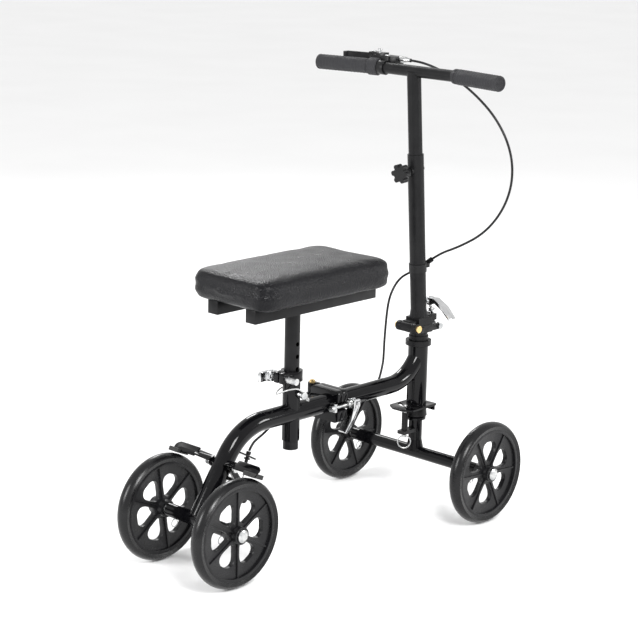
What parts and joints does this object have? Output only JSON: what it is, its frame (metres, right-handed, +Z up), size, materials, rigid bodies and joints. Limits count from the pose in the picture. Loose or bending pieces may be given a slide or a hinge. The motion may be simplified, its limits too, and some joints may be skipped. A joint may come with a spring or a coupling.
{
  "type": "knee scooter",
  "caption": "Folding steerable knee scooter: padded knee rest on a bent tube spine, four spoked wheels, tall steering stem, hand lever with a cable brake on the rear wheels.",
  "frame": {"origin": "on the floor, half way between front and rear axles, in the middle plane of the wheels", "axes": "+X forward, +Y to the rider's left, +Z up"},
  "size_m": [0.788, 0.4546, 0.893],
  "materials": {
    "bearing_steel": "ground",
    "black_plastic": "moulded black",
    "brake_pad": "brake rubber",
    "brass": "plain brass",
    "cable_jacket": "smooth black jacket",
    "chrome": "polished",
    "clear_jacket": "clear coated wire",
    "frame_paint": "gloss black powder coat",
    "grip_rubber": "textured",
    "pad_vinyl": "grained black vinyl",
    "stem_paint": "satin black",
    "tyre": "black polyurethane",
    "wheel_plastic": "satin black nylon",
    "zinc": "zinc plated steel"
  },
  "bodies": {
    "rear_frame": {"rear_main_tube": "frame_paint", "rear_axle_tube": "frame_paint", "seat_sleeve": "frame_paint", "rear_hinge_plate": "frame_paint", "frame_hinge_pin": "brass", "seat_collar": "frame_paint", "seat_clamp_bolt": "zinc", "brake_pivot_bolt": "zinc", "rear_cable_adjuster": "black_plastic", "rear_axle_fasteners": "zinc", "rear_wheel_bearings": "bearing_steel", "brake_return_spring": "zinc", "brake_cable_frame": "cable_jacket", "seat_pin_lanyard": "clear_jacket"},
    "front_frame": {"front_main_tube": "frame_paint", "front_hinge_plate": "frame_paint", "head_tube": "frame_paint", "headset_cups": "stem_paint", "steering_plate": "frame_paint", "frame_clamp_rod": "zinc", "brake_cable_column": "cable_jacket"},
    "frame_clamp_lever": {"frame_clamp_lever": "chrome"},
    "steering_column": {"steerer_tube": "frame_paint", "front_axle_tube": "frame_paint", "plunger_housing": "black_plastic", "plunger_spring": "zinc", "headset_locknut": "stem_paint", "column_head": "stem_paint", "front_axle_fasteners": "zinc", "front_wheel_bearings": "bearing_steel", "stem_pins": "zinc", "brake_cable_stem": "cable_jacket"},
    "steering_plunger": {"steering_plunger": "zinc"},
    "stem": {"lower_stem": "stem_paint", "cable_clip": "black_plastic", "brake_cable_upper": "cable_jacket"},
    "stem_clamp_bolt": {"stem_clamp_bolt": "zinc"},
    "stem_clamp_lever": {"stem_clamp_lever": "chrome"},
    "handlebar": {"stem_inner_tube": "stem_paint", "handlebar_tube": "stem_paint", "handlebar_grips": "grip_rubber", "brake_lever_bracket": "black_plastic"},
    "brake_lever": {"brake_lever": "black_plastic"},
    "brake_lock_pin": {"brake_lock_pin": "zinc"},
    "height_knob": {"height_knob": "black_plastic"},
    "seat": {"seat_post": "stem_paint", "seat_rails": "stem_paint", "knee_pad": "pad_vinyl"},
    "seat_clamp_lever": {"seat_clamp_lever": "chrome"},
    "seat_lock_pin": {"seat_lock_pin": "zinc"},
    "rear_brake": {"brake_yoke": "frame_paint", "brake_shoes": "brake_pad"},
    "rear_left_wheel": {"rear_left_wheel": "wheel_plastic", "rear_left_tyre": "tyre"},
    "rear_right_wheel": {"rear_right_wheel": "wheel_plastic", "rear_right_tyre": "tyre"},
    "front_left_wheel": {"front_left_wheel": "wheel_plastic", "front_left_tyre": "tyre"},
    "front_right_wheel": {"front_right_wheel": "wheel_plastic", "front_right_tyre": "tyre"}
  },
  "joints": [
    {"name": "frame_fold", "type": "hinge", "parent": "rear_frame", "child": "front_frame", "pos_m": [0.05, 0.052, 0.2475], "axis": [0, 0, 1], "range_deg": [0, 120], "deforming": ["brake_cable_frame"]},
    {"name": "frame_clamp_lever", "type": "hinge", "parent": "front_frame", "child": "frame_clamp_lever", "pos_m": [0.082, -0.027, 0.248], "axis": [0, -1, 0], "range_deg": [0, 150]},
    {"name": "steer", "type": "hinge", "parent": "front_frame", "child": "steering_column", "pos_m": [0.296, 0, 0.26], "axis": [0, 0, -1], "range_deg": [-40, 40], "deforming": ["brake_cable_column"]},
    {"name": "plunger_pull", "type": "slide", "parent": "steering_column", "child": "steering_plunger", "axis": [0, 0, -1], "range_m": [0, 0.012], "deforming": ["plunger_spring"]},
    {"name": "stem_fold", "type": "hinge", "parent": "steering_column", "child": "stem", "pos_m": [0.264, 0, 0.36], "axis": [0, -1, 0], "range_deg": [0, 40], "deforming": ["brake_cable_stem"]},
    {"name": "stem_clamp_swing", "type": "hinge", "parent": "steering_column", "child": "stem_clamp_bolt", "pos_m": [0.345, 0, 0.351], "axis": [0, 1, 0], "range_deg": [0, 140]},
    {"name": "stem_clamp_lever", "type": "hinge", "parent": "stem_clamp_bolt", "child": "stem_clamp_lever", "pos_m": [0.325, 0, 0.404], "axis": [-1, 0, 0], "range_deg": [0, 110]},
    {"name": "bar_height", "type": "slide", "parent": "stem", "child": "handlebar", "axis": [-0.0793, 0, 0.9968], "range_m": [-0.06, 0.09], "deforming": ["brake_cable_upper"]},
    {"name": "height_knob_turn", "type": "hinge", "parent": "stem", "child": "height_knob", "pos_m": [0.27099, 0, 0.67], "axis": [-0.9968, 0, -0.0793], "continuous": true},
    {"name": "seat_height", "type": "slide", "parent": "rear_frame", "child": "seat", "axis": [0, 0, -1], "range_m": [-0.024, 0.072]},
    {"name": "seat_clamp_lever", "type": "hinge", "parent": "rear_frame", "child": "seat_clamp_lever", "pos_m": [-0.085, 0.027, 0.322], "axis": [0, 0, -1], "range_deg": [0, 110]},
    {"name": "seat_lock_pin_pull", "type": "slide", "parent": "rear_frame", "child": "seat_lock_pin", "axis": [0, -1, 0], "range_m": [0, 0.03], "deforming": ["seat_pin_lanyard"]},
    {"name": "rear_left_roll", "type": "hinge", "parent": "rear_frame", "child": "rear_left_wheel", "pos_m": [-0.294, 0.0964, 0.1], "axis": [0, 1, 0], "continuous": true},
    {"name": "rear_right_roll", "type": "hinge", "parent": "rear_frame", "child": "rear_right_wheel", "pos_m": [-0.294, -0.0964, 0.1], "axis": [0, 1, 0], "continuous": true},
    {"name": "front_left_roll", "type": "hinge", "parent": "steering_column", "child": "front_left_wheel", "pos_m": [0.294, 0.1826, 0.1], "axis": [0, 1, 0], "continuous": true},
    {"name": "front_right_roll", "type": "hinge", "parent": "steering_column", "child": "front_right_wheel", "pos_m": [0.294, -0.1826, 0.1], "axis": [0, 1, 0], "continuous": true},
    {"name": "brake_lever_squeeze", "type": "hinge", "parent": "handlebar", "child": "brake_lever", "pos_m": [0.281, 0.124, 0.873], "axis": [0, 0, 1], "range_deg": [0, 22]},
    {"name": "brake_apply", "type": "hinge", "parent": "rear_frame", "child": "rear_brake", "pos_m": [-0.236, 0, 0.189], "axis": [0, -1, 0], "range_deg": [0, 4]},
    {"name": "brake_lock_pin_press", "type": "slide", "parent": "handlebar", "child": "brake_lock_pin", "axis": [0, 0, -1], "range_m": [0, 0.004]}
  ],
  "couplings": [
    {"joint": "stem_clamp_swing", "follows": "stem_fold", "ratio": 3.5},
    {"joint": "brake_apply", "follows": "brake_lever_squeeze", "ratio": 0.1818}
  ]
}
